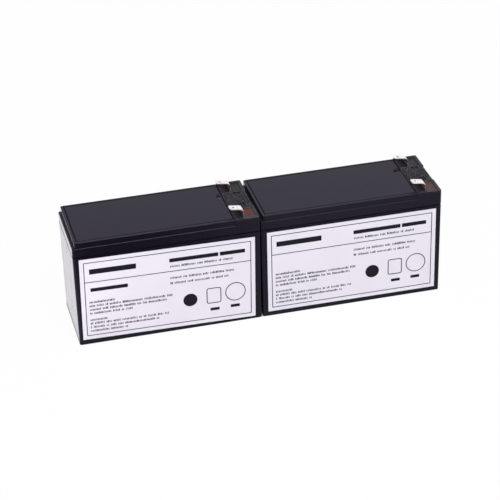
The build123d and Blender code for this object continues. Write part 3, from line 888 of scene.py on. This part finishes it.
# Floor, backdrop and lamps, in metres
white = (1.0, 1.0, 1.0)
stage = {
    "floorSize": 12.0, "floorColour": (0.90, 0.90, 0.90), "floorWhite": 0.97, "ambient": 0.40,
    "slitHalf": 2.0 * mm, "slitSetback": 1.0 * mm,  # the strip between the blocks, dark with their shadow
}
flag = {
    "low": (-0.60, -0.60), "high": (0.10, -0.140), "lift": 0.001, "colour": (0.0, 0.0, 0.0),
    "fadeFrom": -0.085, "fadeTo": 0.075,  # in x
}
lamps = [
    {
        "name": "keySoftbox", "place": (-0.9, -1.7, 1.7), "aim": (0.0, 0.0, 0.05),
        "size": (1.2, 1.2), "power": 8.8,
    },
    {
        "name": "stripLight", "place": (0.17, -1.1, 1.65), "aim": (-0.05, 0.0, 0.08),
        "size": (0.27, 1.3), "power": 21.0,
    },
    {  # shows as a fine line on the right block's edges
        "name": "sheenStrip", "place": (0.57, -1.1, 1.65), "aim": (0.10, 0.0, 0.08),
        "size": (0.42, 1.3), "power": 16.4, "sheenOnly": True,
    },
    {  # lies on the floor beside the left end, which mirrors it
        "name": "endCard", "place": (-0.5265, 0.10, 0.002), "aim": (-0.5265, 0.10, 1.0),
        "size": (0.75, 1.20), "power": 2.4, "tint": (1.0, 0.96, 1.04),
    },
]


def whiteToTheEye(tree):
    # 1 for the rays that look at the background, straight or by reflection
    path = addNode(tree, "ShaderNodeLightPath").outputs
    seen = calc(tree, "MAXIMUM", path["Is Camera Ray"], path["Is Glossy Ray"])
    return calc(tree, "MAXIMUM", seen, path["Is Transmission Ray"])


def emptyMaterial(name):
    material = bpy.data.materials.new(name)
    material.use_nodes = True
    tree = material.node_tree
    tree.nodes.clear()
    axes = axesOf(tree, addNode(tree, "ShaderNodeTexCoord").outputs["Object"])
    return material, tree, axes


def endSurface(tree, factor, first, second, output="ShaderNodeOutputMaterial"):
    mixed = addNode(tree, "ShaderNodeMixShader", {0: factor, 1: first, 2: second}).outputs[0]
    addNode(tree, output, {"Surface": mixed})


def makeFloor():
    shape = bmesh.new()
    bmesh.ops.create_grid(shape, x_segments=1, y_segments=1, size=stage["floorSize"] / 2)
    floor = addObject("floor", plainMesh(shape, "floor"))
    material, tree, axes = emptyMaterial("paleFloor")
    lit = addNode(tree, "ShaderNodeBsdfDiffuse", {"Color": rgba(stage["floorColour"])}).outputs[0]
    bright = addNode(tree, "ShaderNodeEmission", {"Color": rgba(white), "Strength": 1.0}).outputs[0]
    slitEnd = -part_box("left_container")[0].y - stage["slitSetback"]
    beside = calc(tree, "GREATER_THAN", calc(tree, "ABSOLUTE", axes["X"]), stage["slitHalf"])
    beyond = calc(tree, "GREATER_THAN", calc(tree, "ABSOLUTE", axes["Y"]), slitEnd)
    outside = calc(tree, "MAXIMUM", beside, beyond)
    endSurface(tree, product(tree, [whiteToTheEye(tree), outside, stage["floorWhite"]]), lit, bright)
    floor.data.materials.append(material)


def makeFlag():
    # dark card on the floor in front of the left block: it shows only in what the black plastic mirrors
    (lowX, lowY), (highX, highY) = flag["low"], flag["high"]
    outline = [(lowX, lowY), (highX, lowY), (highX, highY), (lowX, highY)]
    mesh = bpy.data.meshes.new("darkFlag")
    mesh.from_pydata([(x, y, flag["lift"]) for x, y in outline], [], [(0, 1, 2, 3)])
    card = addObject("darkFlag", mesh)
    material, tree, axes = emptyMaterial("darkCard")
    dark = addNode(tree, "ShaderNodeBsdfDiffuse", {"Color": rgba(flag["colour"])}).outputs[0]
    clear = addNode(tree, "ShaderNodeBsdfTransparent").outputs[0]
    endSurface(tree, ramp(tree, axes["X"], flag["fadeFrom"], flag["fadeTo"]), dark, clear)
    mesh.materials.append(material)
    card.visible_camera = False
    card.visible_diffuse = False
    card.visible_shadow = False


def makeWorld():
    world = bpy.data.worlds.new("paleRoom")
    bpy.context.scene.world = world
    world.use_nodes = True
    tree = world.node_tree
    tree.nodes.clear()
    soft, bright = [
        addNode(tree, "ShaderNodeBackground", {"Color": rgba(white), "Strength": strength}).outputs[0]
        for strength in (stage["ambient"], 1.0)
    ]
    endSurface(tree, whiteToTheEye(tree), soft, bright, "ShaderNodeOutputWorld")


def makeLamp(plan):
    data = bpy.data.lights.new(plan["name"], "AREA")
    data.shape = "RECTANGLE"
    data.size, data.size_y = plan["size"]
    data.energy = plan["power"]
    data.color = plan.get("tint", white)
    lamp = addObject(plan["name"], data)
    lamp.location = plan["place"]
    aim = Vector(plan["aim"]) - Vector(plan["place"])
    lamp.rotation_euler = aim.to_track_quat("-Z", "Y").to_euler()
    lamp.visible_camera = False
    lamp.visible_diffuse = not plan.get("sheenOnly", False)


makeFloor()
makeFlag()
makeWorld()
for lampPlan in lamps:
    makeLamp(lampPlan)
print("floor, backdrop and", len(lamps), "lamps set")


# Camera at the photograph's viewing angle
cameraPlace = {
    "azimuth": -13.674, "elevation": 29.915, "roll": -1.602,  # degrees
    "distance": 1558.8 * mm, "target": (-1.29 * mm, 0.0, 45.30 * mm), "clip": (0.05, 50.0),
    "focalPixels": 1910.7, "imagePixels": 500.0, "sensorWidth": 36.0,
}


def makeCamera():
    plan = cameraPlace
    azimuth, elevation = math.radians(plan["azimuth"]), math.radians(plan["elevation"])
    level = math.cos(elevation)
    back = Vector((math.sin(azimuth) * level, -math.cos(azimuth) * level, math.sin(elevation)))
    right = Vector((math.cos(azimuth), math.sin(azimuth), 0.0))
    turned = Matrix((right, back.cross(right), back)).transposed()
    rolled = turned @ Matrix.Rotation(math.radians(plan["roll"]), 3, "Z")
    data = bpy.data.cameras.new("productCamera")
    data.sensor_width = plan["sensorWidth"]
    data.lens = plan["sensorWidth"] * plan["focalPixels"] / plan["imagePixels"]
    data.clip_start, data.clip_end = plan["clip"]
    camera = addObject("productCamera", data)
    camera.location = Vector(plan["target"]) + back * plan["distance"]
    camera.rotation_euler = rolled.to_euler()
    bpy.context.scene.camera = camera


makeCamera()
bpy.context.scene.view_settings.view_transform = "Standard"
print("camera set")
